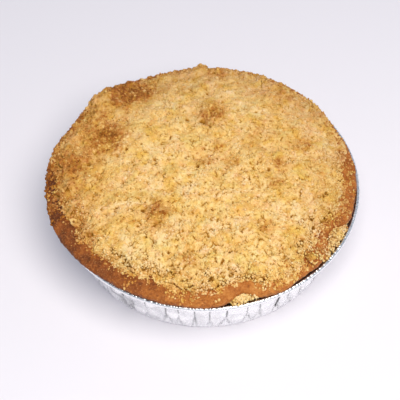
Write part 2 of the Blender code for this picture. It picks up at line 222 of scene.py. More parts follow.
# The loose crumbs
CRUMB_KINDS = (
    ("fine_crumbs", 12000, 2200, 9900, 0.00036, 0.00030, (-0.60, 0.30), 1, 3, 100),
    ("small_crumbs", 11000, 1700, 9800, 0.00052, 0.00045, (-0.30, 0.55), 1, 4, 150),
    ("medium_crumbs", 1150, 420, 1500, 0.00085, 0.00060, (0.10, 0.75), 2, 6, 200),
)  # name, tries on the heap and at its edge, most, least radius, added radius, sunk, detail, balls, seed
GAP_FILLS = (
    (279.8, 288.5, 1.0, 0.0764), (280.8, 287.6, 1.1, 0.0771), (317.5, 340.5, 1.1, 0.0758),
    (320.0, 338.0, 1.3, 0.0743), (320.5, 337.5, 1.3, 0.0731),
)  # start, end and step in degrees, and radius, of the rows of lumps in the gaps between crust and rim
GAP_FILL_HEIGHT = 0.0336
MEDIUM_ON_CRUST = (290, 15, 196, 0.0715, 0.0788)  # as the single strays below
EDGE_CLUSTERS = (
    (60, 200, 345, 0.0070, 0.0018, 0.0012, 0.0024), (16, -15, 200, 0.0036, 0.0004, 0.0010, 0.0018),
)  # count, start and end in degrees, how far in and out from the heap's edge, least and most radius
SHAPES_OF_A_KIND = 40
DROP_HEIGHT = 0.08
TOPS_STEP = 0.0006
SHADED_DEPTH = 0.0016

# Crumbs on the rolled crust: count, start and end in degrees. Then, for bunches, how far they spill from the
# heap and, in some, how wide they are. For single ones, the inner and the outer radius.
PALE_STRAYS = (
    ("bunches", 34, 206, 240, 0.0009), ("bunches", 26, 238, 264, 0.0014), ("bunches", 34, 255, 318, 0.0018),
    ("bunches", 10, 190, 220, 0.0020), ("bunches", 30, 325, 372, 0.0018),
    ("single", 640, 18, 184, 0.0735, 0.0796), ("single", 60, 298, 345, 0.0720, 0.0785),
    ("single", 90, 338, 378, 0.0725, 0.0790),
)
BROWNED_STRAYS = (
    ("bunches", 80, 206, 238, 0.0010, 0.0007), ("bunches", 74, 236, 262, 0.0018, 0.0007),
    ("bunches", 110, 255, 302, 0.0024, 0.0007), ("bunches", 40, 325, 372, 0.0026),
    ("bunches", 50, 165, 206, 0.0040), ("single", 330, 298, 345, 0.0690, 0.0790),
    ("single", 380, 0, 184, 0.0745, 0.0794), ("single", 160, 150, 200, 0.0760, 0.0800),
)
LARGE_STRAYS = (
    ("single", 70, 162, 204, 0.0780, 0.0800), ("single", 44, 300, 372, 0.0715, 0.0785),
    ("bunches", 12, 206, 262, 0.0030),
)
STRAY_KINDS = (
    ("stray_crumbs", PALE_STRAYS, 0.00042, -0.20, 1, 4, 400, 0.14),
    ("baked_in_crumbs", BROWNED_STRAYS, 0.00045, 0.15, 1, 4, 500, 0.28),
    ("large_baked_in_crumbs", LARGE_STRAYS, 0.00076, 0.30, 2, 5, 600, 0.33),
)  # name, places, least radius, sunk, detail, balls, seed, how much browner

# Colours of the materials, linear
CRUMB_TONES = (
    (0.00, (0.95, 0.710, 0.345)), (0.22, (0.88, 0.580, 0.214)), (0.45, (0.72, 0.385, 0.107)),
    (0.68, (0.49, 0.172, 0.032)), (1.00, (0.23, 0.066, 0.011)),
)
PIT_SHADE_TONES = ((0.0, (0.76, 0.45, 0.115)), (0.45, (0.53, 0.255, 0.033)), (1.0, (0.26, 0.100, 0.010)))
BROAD_TONES = ((0.38, (1.01, 1.02, 1.16)), (0.62, (0.99, 0.965, 0.84)))
GOLDEN = (0.94, 0.855, 0.50)
ROSY = (1.0, 0.91, 1.0)
GREENISH = (0.93, 0.96, 0.90)
PAINTED_DIM_TINT = (0.885, 0.895, 1.03)
PASTRY_TONES = (
    (0.00, (0.58, 0.215, 0.042)), (0.30, (0.44, 0.132, 0.019)),
    (0.60, (0.26, 0.064, 0.008)), (1.00, (0.10, 0.022, 0.003)),
)
PALE_SPECK = (0.76, 0.35, 0.105)
DARK_SPECK = (0.18, 0.045, 0.006)
FOIL_TONES = ((0.30, (0.94, 0.95, 0.96)), (0.70, (1.0, 1.0, 1.0)))
FOIL_SHADE_COLOUR = (0.02, 0.02, 0.022)


def unit(value):
    return np.clip(value, 0.0, 1.0)


def smooth_step(low, high, value):
    """0 up to low, 1 from high on, and a smooth rise between them."""
    share = unit((value - low) / (high - low))
    return share * share * (3.0 - 2.0 * share)


def noise_at(x, y, z, waves, seed=0.0):
    """Smooth noise from -1 to 1 at places in metres, with this many waves in a metre."""
    x, y, z = np.broadcast_arrays(x, y, z)
    places = np.stack([x * waves, y * waves, z * waves + seed], axis=-1).reshape(-1, 3)
    return np.array([noise.noise(place) for place in places.tolist()]).reshape(x.shape)


def round_the_edge(angle, waves, seed):
    return noise_at(np.cos(angle), np.sin(angle), 0.0, waves, seed)


def degrees_between(angle, centre):
    return np.abs((np.degrees(angle) - centre + 180.0) % 360.0 - 180.0)


def stretch(angle, places):
    """The sum of the humps (centre, half width, size) that reach these angles of the pie's edge."""
    total = 0.0
    for centre, half_width, size in places:
        total = total + size * (1.0 - smooth_step(0.0, half_width, degrees_between(angle, centre)))
    return total


def with_spots(total, x, y, spots, power=1):
    """The total with the round spots (x, y, spread, size) that reach these places added to it."""
    for at_x, at_y, spread, size in spots:
        away = ((x - at_x) ** 2 + (y - at_y) ** 2) / spread**2
        total = total + size * np.exp(-(away**power))
    return total


def from_polar(radius, angle, height):
    return np.stack([radius * np.cos(angle), radius * np.sin(angle), height], axis=-1)


def crust_height(radius):
    """Top of the pastry case at a radius, before it is made uneven."""
    share = unit((radius - CREST_RADIUS) / (LIP_RADIUS - CREST_RADIUS))
    half = (CREST_HEIGHT - LIP_FOOT_HEIGHT) / 2
    roll = CREST_HEIGHT - half + half * (1.0 - share**ROLL_FULLNESS) ** (1.0 / ROLL_FULLNESS)
    rise = smooth_step(FILLING_RADIUS, CREST_RADIUS, radius)
    level = FILLING_HEIGHT + (CREST_HEIGHT - FILLING_HEIGHT) * rise
    return np.where(radius >= CREST_RADIUS, roll, level)


def settle(radius, angle, height):
    """Moves points of the round pie to where they lie in the real uneven one. Returns (n, 3)."""
    reach = smooth_step(LEVEL_RADIUS, CREST_RADIUS, radius)
    above_rim = smooth_step(BEAD_HEIGHT, LIP_FOOT_HEIGHT + 0.0010, height)
    above_wall = smooth_step(WALL_TOP_HEIGHT - 0.0008, WALL_TOP_HEIGHT + 0.0004, height)
    at_lip = smooth_step(CREST_RADIUS - 0.006, LIP_RADIUS, radius)
    out = SHIFT * np.cos(angle - math.radians(SHIFT_DEG)) + stretch(angle, BULGES)
    out = out + UNEVEN_RADIUS * round_the_edge(angle, UNEVEN_WAVES, 3.0)
    up = stretch(angle, PUFFS) + UNEVEN_HEIGHT * round_the_edge(angle, UNEVEN_WAVES, 7.0)
    moved = radius + out * reach * above_rim - stretch(angle, DENTS) * at_lip * above_wall
    return from_polar(moved, angle, height + up * reach * above_rim)


def settled_places(radius, angle, height):
    """The x and y of points of the round pie in the real uneven one."""
    return settle(radius, angle, height)[:, :2].T


def topping_edge_radius(angle):
    """How far out the crumbs reach at an angle of the round pie."""
    ragged = RAGGED_EDGE * round_the_edge(angle, RAGGED_WAVES, 5.0)
    return TOPPING_RADIUS + stretch(angle, SPREADS) + ragged


def topping_height(radius, angle, small_bumps=1.0):
    """Top of the crumbs: a low dome that slopes off at its edge, with heaps and bumps."""
    inside = unit((topping_edge_radius(angle) - radius) / TOPPING_SLOPE)
    full = np.sqrt(unit(1.0 - (1.0 - inside) ** 2))
    dome = TOPPING_CENTRE_HEIGHT - DOME_FALL * (radius / DOME_RADIUS) ** DOME_POWER
    foot = crust_height(radius) + TOPPING_EDGE
    x, y = radius * np.cos(angle), radius * np.sin(angle)
    height = with_spots(foot + np.maximum(dome - foot, 0.0) * full, x, y, MOUNDS)
    bumps = BUMP_HEIGHT * noise_at(x, y, 0.009, BUMP_WAVES)
    bumps = bumps + small_bumps * SMALL_BUMP_HEIGHT * noise_at(x, y, 0.009, SMALL_BUMP_WAVES)
    return height + bumps * (0.35 + 0.65 * full)


# Materials


class Nodes:
    """The node tree of a material or the world, with short ways to add the nodes that they share."""

    def __init__(self, owner, shader="Principled BSDF", place="Object"):
        owner.use_nodes = True
        self.tree = owner.node_tree
        self.shader = self.tree.nodes[shader]
        self.place = self.new("TexCoord").outputs[place]

    def new(self, kind):
        return self.tree.nodes.new("ShaderNode" + kind)

    def fill(self, node, items):
        """Puts a number, a colour or another node's output in each socket, by name or place."""
        for key, item in items.items():
            if isinstance(item, float):
                node.inputs[key].default_value = item
            elif isinstance(item, tuple):
                node.inputs[key].default_value = (*item, 1.0)
            else:
                self.tree.links.new(item, node.inputs[key])
        return node.outputs

    def attribute(self, name):
        node = self.new("Attribute")
        node.attribute_name = name
        return node.outputs["Fac"]

    def noise(self, scale, detail=2.0, roughness=0.5):
        items = {"Scale": scale, "Detail": detail, "Roughness": roughness, "Vector": self.place}
        return self.fill(self.new("TexNoise"), items)["Fac"]

    def maths(self, operation, *items, clamp=False):
        node = self.new("Math")
        node.operation = operation
        node.use_clamp = clamp
        return self.fill(node, dict(enumerate(items)))[0]

    def shaken(self, value, noise_value, amount, clamp=False):
        """The value, raised or lowered by up to half the amount."""
        lowered = self.maths("SUBTRACT", value, amount / 2)
        return self.maths("MULTIPLY_ADD", noise_value, amount, lowered, clamp=clamp)

    def ramp(self, factor, stops):
        node = self.new("ValToRGB")
        band = node.color_ramp
        while len(band.elements) < len(stops):
            band.elements.new(0.5)
        for element, (position, colour) in zip(band.elements, stops):
            element.position = position
            element.color = (*colour, 1.0)
        return self.fill(node, {"Fac": factor})["Color"]

    def grey_ramp(self, factor, *stops):
        return self.ramp(factor, [(position, (value, value, value)) for position, value in stops])

    def mix(self, factor, first, second, blend="MIX"):
        node = self.new("Mix")
        node.data_type = "RGBA"
        node.blend_type = blend
        return self.fill(node, {0: factor, 6: first, 7: second})[2]

    def bump(self, height, strength, distance):
        items = {"Height": height, "Strength": strength, "Distance": distance}
        self.fill(self.shader, {"Normal": self.fill(self.new("Bump"), items)["Normal"]})


def crumb_material():
    """Baked crumbs: pale cream to gold, brown where they caught the heat, with painted shade down in the pits
    and low places and a painted dimming at the back and sides.
    """
    material = bpy.data.materials.new("baked_crumbs")
    nodes = Nodes(material)
    tone = nodes.maths("ADD", nodes.attribute("bake"), nodes.attribute("tint"))
    tone = nodes.shaken(tone, nodes.noise(230.0, 3.0), 0.42)
    tone = nodes.shaken(tone, nodes.noise(1500.0, 3.0, 0.6), 0.26, clamp=True)
    colour = nodes.ramp(tone, CRUMB_TONES)
    for tint, scale, start, end, most in (
        (GOLDEN, 155.0, 0.51, 0.67, 0.85),
        (ROSY, 260.0, 0.52, 0.68, 0.8),
        (GREENISH, 110.0, 0.50, 0.64, 0.9),
    ):
        blotches = nodes.grey_ramp(nodes.noise(scale), (start, 0.0), (end, most))
        colour = nodes.mix(blotches, colour, tint, "MULTIPLY")
    colour = nodes.mix(1.0, colour, nodes.ramp(nodes.noise(85.0), BROAD_TONES), "MULTIPLY")
    painted_dim = nodes.attribute("painted_dim")
    colour = nodes.mix(painted_dim, colour, PAINTED_DIM_TINT, "MULTIPLY")
    # the painted pit shade is lighter where the painted dimming is
    pit_shade = nodes.maths("MULTIPLY", nodes.attribute("pit_shade"), nodes.maths("MULTIPLY_ADD", painted_dim, -0.18, 1.0))
    pit_shade_share = nodes.maths("MULTIPLY", pit_shade, 1.45, clamp=True)
    colour = nodes.mix(pit_shade_share, colour, nodes.ramp(pit_shade, PIT_SHADE_TONES))
    nodes.fill(nodes.shader, {"Base Color": colour, "Roughness": 0.75, "Specular IOR Level": 0.10})
    grit = nodes.maths("ADD", nodes.noise(2600.0, 4.0, 0.65), nodes.noise(900.0))
    nodes.bump(grit, 0.9, 0.0004)
    return material


def crust_material():
    """Browned pastry: mealy, darker where it is baked more and where shade is painted in, with pale and dark
    specks.
    """
    material = bpy.data.materials.new("browned_crust")
    nodes = Nodes(material)
    tone = nodes.maths("MULTIPLY_ADD", nodes.noise(150.0, 4.0, 0.6), 1.00, nodes.attribute("bake"))
    tone = nodes.maths("MULTIPLY_ADD", nodes.noise(700.0, 4.0, 0.65), 0.90, tone)
    tone = nodes.maths("SUBTRACT", tone, 0.98, clamp=True)
    pale = nodes.grey_ramp(nodes.noise(1250.0, 3.0, 0.7), (0.55, 0.0), (0.71, 0.56))
    colour = nodes.mix(pale, nodes.ramp(tone, PASTRY_TONES), PALE_SPECK)
    dark = nodes.grey_ramp(nodes.noise(800.0, 3.0, 0.6), (0.33, 0.65), (0.44, 0.0))
    colour = nodes.mix(dark, colour, DARK_SPECK)
    rough = nodes.grey_ramp(nodes.noise(420.0), (0.30, 0.40), (0.70, 0.64))
    nodes.fill(nodes.shader, {"Base Color": colour, "Roughness": rough, "Specular IOR Level": 0.24})
    grain = nodes.maths("ADD", nodes.noise(1500.0, 4.0, 0.65), nodes.noise(520.0, 3.0))
    nodes.bump(grain, 1.0, 0.0005)
    return material


def foil_material():
    """Bright thin aluminium, faintly rolled, with painted shade in its creases, its rim's notches and soft
    patches.
    """
    material = bpy.data.materials.new("aluminium_foil")
    nodes = Nodes(material)
    seam = nodes.maths("MULTIPLY", nodes.attribute("seam"), 0.97, clamp=True)
    colour = nodes.mix(seam, nodes.ramp(nodes.noise(90.0, 3.0), FOIL_TONES), FOIL_SHADE_COLOUR)
    rough = nodes.grey_ramp(nodes.noise(700.0, 3.0), (0.30, 0.22), (0.75, 0.38))
    nodes.fill(nodes.shader, {"Base Color": colour, "Roughness": rough, "Metallic": 1.0})
    nodes.bump(nodes.noise(260.0), 0.10, 0.0004)
    return material


# Meshes


def add_object(name, data):
    made = bpy.data.objects.new(name, data)
    bpy.context.scene.collection.objects.link(made)
    return made


def add_piece(name, points, faces, material, slot, node=None, **values):
    """Makes a smooth-shaded piece that rides on the part, with a value for each point by name."""
    data = bpy.data.meshes.new(name)
    data.from_pydata(points.tolist(), [], faces)
    data.materials.append(material)
    data.shade_smooth()
    for key, value in values.items():
        layer = data.attributes.new(key, "FLOAT", "POINT")
        layer.data.foreach_set("value", np.asarray(value, np.float32))
    made = add_object(name, data)
    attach(made, "root")
    if node:
        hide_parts(node)
    return made


def turned_grid(section, angles):
    """Radius, angle and height of a section's points, turned to these angles: a row for each point."""
    radius = np.repeat(section[:, :1], len(angles), axis=1)
    height = np.repeat(section[:, 1:], len(angles), axis=1)
    return radius, np.repeat(angles[None, :], len(section), axis=0), height


def turned_faces(rows, columns):
    """Faces of a closed turned grid whose first and last points, after the grid, lie on its axis."""
    step = np.arange(columns)
    beyond = (step + 1) % columns
    quads = []
    for row in range(rows - 1):
        low, high = row * columns, (row + 1) * columns
        quads.append(np.stack([low + step, low + beyond, high + beyond, high + step], axis=1))
    last = (rows - 1) * columns
    first_pole = np.full(columns, rows * columns)
    bottom = np.stack([first_pole, beyond, step], axis=1)
    top = np.stack([last + step, last + beyond, first_pole + 1], axis=1)
    return np.concatenate(quads).tolist() + bottom.tolist() + top.tolist()


def along(start, end, count):
    """Points from start to end, both kept, as (radius, height) pairs."""
    return [tuple(pair) for pair in np.linspace(start, end, count)]


def push_out(points, faces, amounts):
    """Moves each point along the surface's normal there."""
    data = bpy.data.meshes.new("push")
    data.from_pydata(points.tolist(), [], faces)
    normals = np.zeros(len(points) * 3)
    data.vertices.foreach_get("normal", normals)
    bpy.data.meshes.remove(data)
    return points + normals.reshape(-1, 3) * amounts[:, None]


def cobbles(points, spacing, seed):
    """For crumbs packed about this far apart: height of each place on its crumb, and the crumb's own draw."""
    away, middles = [], []
    for place in (points / spacing + seed).tolist():
        distances, corners = noise.voronoi(place)
        away.append(distances[0])
        middles.append(corners[0][:])
    mixed = np.sin(np.array(middles) @ np.array([12.99, 78.23, 37.72])) * 437.58
    return 1.0 - (np.array(away) / 0.85) ** 2, np.abs(np.modf(mixed)[0])


# The foil dish


def wall_radius(height):
    share = (height - CORNER_RADIUS) / (WALL_TOP_HEIGHT - CORNER_RADIUS)
    return BASE_RADIUS + (WALL_TOP_RADIUS - BASE_RADIUS) * share


def dish_section():
    """The foil's section as (radius, height) from the middle below to the middle above."""
    bead_middle = RIM_RADIUS - BEAD_RADIUS
    flange = (WALL_TOP_RADIUS - FOIL * 0.6, WALL_TOP_HEIGHT + FOIL * 1.2)
    section = along((FIRST_RING, 0.0), (BASE_RADIUS - CORNER_RADIUS, 0.0), 4)
    for degrees in (30, 60):
        turn = math.radians(degrees)
        radius = BASE_RADIUS - CORNER_RADIUS * (1 - math.sin(turn))
        section.append((radius, CORNER_RADIUS * (1 - math.cos(turn))))
    section += along((BASE_RADIUS, CORNER_RADIUS), (WALL_TOP_RADIUS, WALL_TOP_HEIGHT), 27)
    for degrees in range(-112, 116, 15):
        turn = math.radians(degrees)
        radius = bead_middle + BEAD_RADIUS * math.cos(turn)
        section.append((radius, BEAD_HEIGHT + BEAD_RADIUS * math.sin(turn)))
    section.append((WALL_TOP_RADIUS + 0.0010, WALL_TOP_HEIGHT + FOIL * 1.6))
    section += along(flange, (BASE_RADIUS - FOIL, CORNER_RADIUS), 6)
    section += along((BASE_RADIUS - CORNER_RADIUS, FOIL), (FIRST_RING, FOIL), 3)
    return np.array(section)


def pleat_draws():
    """Each pleat's share of the full depth, and how far along it has drifted."""
    draw = random.Random(11)
    depths = np.array([draw.uniform(0.65, 1.0) for _ in range(PLEATS)])
    drifts = np.array([draw.uniform(-PLEAT_DRIFT, PLEAT_DRIFT) for _ in range(PLEATS)])
    return depths, drifts


def panel_angles():
    """The angles of the dish's columns: one on each pleat's crease, the rest crowded towards the creases."""
    _, drifts = pleat_draws()
    creases = (np.arange(PLEATS) + drifts) * 2 * math.pi / PLEATS
    widths = np.diff(np.append(creases, creases[0] + 2 * math.pi))
    share = np.arange(PANEL_COLUMNS) / PANEL_COLUMNS
    share = share - CREASE_CROWDING * np.sin(2 * math.pi * share)
    return (creases[:, None] + widths[:, None] * share[None, :]).ravel()


def add_dents(pressed, draw, angle, height, on_wall):
    """Presses small random dents into the lower wall, and a few small bulges out of it."""
    for centre, level, size, depth in zip(
        draw.uniform(0.0, 2 * math.pi, FOIL_DENTS),
        draw.uniform(0.002, 0.019, FOIL_DENTS),
        draw.uniform(0.0020, 0.0046, FOIL_DENTS),
        draw.uniform(-0.0008, 0.0014, FOIL_DENTS),
    ):
        across = ((angle - centre + math.pi) % (2 * math.pi) - math.pi) * BASE_RADIUS
        pressed += depth * np.exp(-((across**2 + (height - level) ** 2) / size**2) ** 1.4) * on_wall


def pressed_wall(angle, height):
    """How far in the pleated wall is pressed, and how much painted shade each point gets in a crease, its
    forks and the soft shaded patches.
    """
    depths, drifts = pleat_draws()
    draw = np.random.default_rng(21)
    forks = draw.uniform(0.20, 0.55, PLEATS) * draw.choice([-1, 1], PLEATS)
    fork_tops = draw.uniform(0.006, 0.014, PLEATS)
    swells = draw.uniform(-0.00045, 0.00035, PLEATS)
    tilts = draw.uniform(-0.0007, 0.0007, PLEATS)
    darkness = draw.uniform(0.50, 1.20, PLEATS)
    ends = draw.uniform(0.004, 0.014, PLEATS)
    tops = draw.uniform(0.023, 0.031, PLEATS)
    widths = draw.uniform(0.024, 0.042, PLEATS)
    on_wall = smooth_step(0.0, 0.005, height)
    place = angle / (2 * math.pi) * PLEATS
    near = np.floor(place).astype(int)
    pressed = np.zeros_like(angle)
    dark = np.zeros_like(angle)
    for offset in (-1, 0, 1):
        pleat = (near + offset) % PLEATS
        # the crease itself, with a valley round it and a lapped edge beside it
        away = place - near - offset - drifts[pleat]
        valley = unit(1.0 - np.abs(away) * 3.4) * 0.40
        fold = np.exp(-((away / 0.045) ** 2)) * 0.60
        lap = -0.20 * np.exp(-np.abs(away - 0.06) / 0.06) * (away > 0.02)
        pressed += PLEAT_DEPTH * depths[pleat] * on_wall * (valley + fold + lap)
        # painted shade along the crease
        line = unit(1.6 * np.exp(-((away / widths[pleat]) ** 2)))
        shown = smooth_step(-0.001, 0.002, height - ends[pleat])
        shown *= smooth_step(-0.003, 0.001, tops[pleat] - height)
        dark = np.maximum(dark, line * shown * darkness[pleat])
        # its two forked folds low on the wall, with painted shade in them
        below = unit(1.0 - height / fork_tops[pleat])
        for side in (1.0, -0.6):
            beside = away - side * forks[pleat] * below
            branch = np.exp(-((beside / 0.06) ** 2)) * smooth_step(0.0, 0.25, below)
            pressed += FORK_DEPTH * branch * on_wall
            dark = np.maximum(dark, 0.40 * branch * on_wall)
        # the panel from here to the next crease swells or sinks, and leans
        share = away / (1.0 + drifts[(pleat + 1) % PLEATS] - drifts[pleat])
        inside = (share > 0.0) & (share < 1.0)
        swell = swells[pleat] * np.sin(math.pi * unit(share))
        lean = tilts[pleat] * (share - 0.5) * (1.2 - height / WALL_TOP_HEIGHT)
        pressed += np.where(inside, swell + lean, 0.0) * on_wall
    add_dents(pressed, draw, angle, height, on_wall)
    # painted shade in soft patches over the wall, more on the left
    shade_patch = smooth_step(0.02, 0.40, noise_at(np.cos(angle), np.sin(angle), height * 9.0, 12.0, 31.0))
    dark = np.maximum(dark, shade_patch * on_wall * (0.10 + stretch(angle, WALL_SHADE_PATCHES)))
    inward = DEEPEST_PRESS * np.tanh(pressed / DEEPEST_PRESS)
    return np.where(pressed > 0, inward, np.maximum(pressed, -DEEPEST_SWELL)), dark


def rim_notches():
    """How deep the crimped rim's narrow notches are at each column, 3 to 5 columns apart."""
    draw = np.random.default_rng(5)
    notches = np.cumsum(draw.integers(3, 6, DISH_COLUMNS // 3))
    notches = notches[notches < DISH_COLUMNS - 2]
    depths = np.zeros(DISH_COLUMNS)
    depths[notches] = draw.uniform(0.2, 1.0, len(notches)) ** 0.5
    depths[notches + 1] = draw.uniform(0.0, 0.6, len(notches)) * depths[notches]
    return depths


def make_foil():
    """The pressed foil dish, with sharp pleats, forked creases low on the wall and a crimped rim."""
    section = dish_section()
    turn = panel_angles()
    radius, angle, height = turned_grid(section, turn)
    on_wall = (radius > BASE_RADIUS - CORNER_RADIUS * 0.9) & (height < WALL_TOP_HEIGHT + 0.0005)
    pressed, dark = pressed_wall(angle, height)
    fade = 1.0 - smooth_step(WALL_TOP_HEIGHT - 0.004, WALL_TOP_HEIGHT + 0.001, height)
    radius = radius - np.where(on_wall, pressed * (0.25 + 0.75 * fade), 0.0)
    x, y = np.cos(angle) * RIM_RADIUS, np.sin(angle) * RIM_RADIUS
    crinkle = CRINKLE * noise_at(x, y, height, 110.0, 4.0) + FINE_CRINKLE * noise_at(x, y, height, 420.0, 9.0)
    radius = radius - np.where(on_wall, np.abs(crinkle), 0.0)

    notch = rim_notches()
    bead_middle = RIM_RADIUS - BEAD_RADIUS
    on_bead = radius > WALL_TOP_RADIUS + 0.0005
    round_bead = np.degrees(np.arctan2(height - BEAD_HEIGHT, radius - bead_middle))
    facing = np.exp(-(((round_bead - NOTCH_FACING_DEG) / 20.0) ** 2))
    shrink = 1.0 - NOTCH_DEPTH * notch * (0.3 + 0.7 * facing)
    shrink = shrink - 0.10 * np.abs(noise_at(x, y, height, 800.0, 2.0))
    radius = np.where(on_bead, bead_middle + (radius - bead_middle) * shrink, radius)
    height = np.where(on_bead, BEAD_HEIGHT + (height - BEAD_HEIGHT) * shrink, height)
    # painted shade in the rim's notches, less on the right
    dark_notch = 1.7 * notch * (1.0 - stretch(turn, RIM_LESS_SHADED))
    seam = np.where(on_bead, unit(dark_notch * facing), dark * on_wall)

    points = np.concatenate([from_polar(radius, angle, height).reshape(-1, 3), [[0, 0, 0], [0, 0, FOIL]]])
    seam = np.concatenate([seam.ravel(), [0, 0]])
    faces = turned_faces(len(section), DISH_COLUMNS)
    add_piece("pressed_foil", points, faces, foil_material(), "foil", "foil_dish", seam=seam)


# The crust


def case_section():
    """The case's section as (radius, height): underside, rolled edge, top."""
    clear = FOIL + PLEAT_DEPTH + GAP
    floor = FOIL + GAP
    shoulder = WALL_TOP_HEIGHT - 0.0010
    section = [
        (FIRST_RING, floor),
        (BASE_RADIUS - CORNER_RADIUS - clear, floor),
        (wall_radius(0.004) - clear, 0.004),
        (wall_radius(shoulder) - clear, shoulder),
    ]
    section += along((WALL_TOP_RADIUS - 0.0008, WALL_TOP_HEIGHT + FOIL * 2 + GAP * 2), ROLL_START, 3)
    half = (CREST_HEIGHT - LIP_FOOT_HEIGHT) / 2
    for turn in np.radians(np.linspace(-72, 90, 36)):
        across = math.copysign(abs(math.cos(turn)) ** (2 / ROLL_FULLNESS), math.cos(turn))
        upward = math.copysign(abs(math.sin(turn)) ** (2 / ROLL_FULLNESS), math.sin(turn))
        radius = CREST_RADIUS + (LIP_RADIUS - CREST_RADIUS) * max(across, 0.0)
        section.append((radius, CREST_HEIGHT - half + half * upward))
    for radius in (*np.arange(CREST_RADIUS - 0.0007, 0.0625, -0.0008), FILLING_RADIUS, LEVEL_RADIUS, 0.025):
        section.append((radius, float(crust_height(radius))))
    return np.array(section)


def make_crust():
    """The browned pastry case with its rolled edge, mealy and a little cracked. Returns its surface."""
    section = case_section()
    turn = np.arange(CASE_COLUMNS) * 2 * math.pi / CASE_COLUMNS
    points = settle(*(grid.ravel() for grid in turned_grid(section, turn)))
    points = np.concatenate([points, [[0, 0, FOIL + GAP], [0, 0, FILLING_HEIGHT]]])
    faces = turned_faces(len(section), CASE_COLUMNS)
    x, y, z = points.T
    out = np.hypot(x, y)
    shown = smooth_step(0.0318, 0.0345, z) * smooth_step(0.050, 0.064, out)
    mealy = smooth_step(-0.35, 0.35, noise_at(x, y, z, 120.0, 14.0))
    meal, meal_draw = cobbles(points, MEAL_SPACING, 5.0)
    relief = 0.00060 * noise_at(x, y, z, 130.0, 1.0) + 0.00034 * noise_at(x, y, z, 400.0, 2.0)
    relief += (0.00024 * meal + 0.00034 * (meal_draw - 0.5)) * (0.35 + 0.65 * mealy)
    cracks = unit(1.0 - np.abs(noise_at(x, y, z * 0.6, 95.0, 6.0)) / 0.05)
    cracks *= smooth_step(0.1, 0.5, noise_at(x, y, z, 60.0, 8.0))
    relief -= 0.00035 * cracks
    points = push_out(points, faces, relief * shown)

    # browner by angle, part baking and part painted shade on the left and painted light at the front; darker
    # towards the middle
    bake = CRUST_BAKE + stretch(np.arctan2(y, x), CRUST_BROWNING_AND_SHADE)
    bake = bake + 0.22 * (1.0 - smooth_step(0.062, 0.073, out))
    bake = bake + 0.11 * noise_at(x, y, z, 60.0, 5.0) + 0.22 * noise_at(x, y, z, 230.0, 15.0)
    # darker in the cracks as painted shade; the meal paler at random
    bake = bake + 0.25 * cracks - 0.20 * meal_draw * mealy + 0.10 * mealy
    # painted shade on the underside of the rolled edge, where it overhangs the rim
    bake = bake + 0.9 * (1.0 - smooth_step(0.0330, 0.0342, z))
    bake = with_spots(bake, x, y, SCORCHED)
    add_piece("browned_crust", points, faces, crust_material(), "pastry", "pastry_case", bake=bake)
    return points, faces


# How the crumbs are baked


def bake_at(x, y):
    """How browned the crumbs are at a place, from 0, pale, to 1, dark."""
    tone = CRUMB_BAKE + 0.07 * noise_at(x, y, 0.0, 60.0, 3.0) + 0.10 * noise_at(x, y, 0.0, 210.0, 8.0)
    blotchy = 1.0 + noise_at(x, y, 0.0, 280.0, 6.0) + 1.5 * noise_at(x, y, 0.0, 760.0, 4.0)
    browned = with_spots(0.0, x, y, BROWNED + PALE)
    tone = tone + MOST_BROWNED * np.tanh(browned * blotchy / MOST_BROWNED)
    outer = smooth_step(0.040, 0.078, np.hypot(x, y))
    return tone + outer * (0.05 + stretch(np.arctan2(y, x), EDGE_TONES))


def painted_dim_at(x, y):
    """How much painted shade dims and greys the crumbs: those at the back, and less so those at the sides."""
    patchy = 0.8 + 0.5 * noise_at(x, y, 0.0, 90.0, 17.0)
    sides = 0.75 * smooth_step(0.030, 0.075, x) + 0.4 * smooth_step(0.055, 0.078, -x)
    return patchy * unit(smooth_step(0.015, 0.070, y) + sides)


def contrast_at(y):
    """How much the crumbs differ from each other: more at the front, where the light rakes them."""
    return 1.35 - 0.75 * smooth_step(-0.065, 0.060, y)


# The heap's pits


def dig(depths, wobble, x, y, radius, depth):
    """A narrow ragged hole, added to the field of depths."""
    reach = int(radius * 2.6 / FIELD_STEP)
    column = int(round((x + FIELD_HALF) / FIELD_STEP))
    row = int(round((y + FIELD_HALF) / FIELD_STEP))
    rows, columns = slice(row - reach, row + reach + 1), slice(column - reach, column + reach + 1)
    steps = np.arange(-reach, reach + 1) * (FIELD_STEP / radius)
    away = (steps[None, :] ** 2 + steps[:, None] ** 2) * (1.0 + 0.9 * wobble[rows, columns])
    depths[rows, columns] += depth * np.exp(-(away**1.5))


def random_place(draw):
    """A place in the heap, more often towards the front."""
    while True:
        angle, radius = draw.uniform(0, 2 * math.pi), DUG_RADIUS * math.sqrt(draw.random())
        x, y = radius * math.cos(angle), radius * math.sin(angle)
        if draw.random() < 0.65 - 5.0 * y:
            return x, y


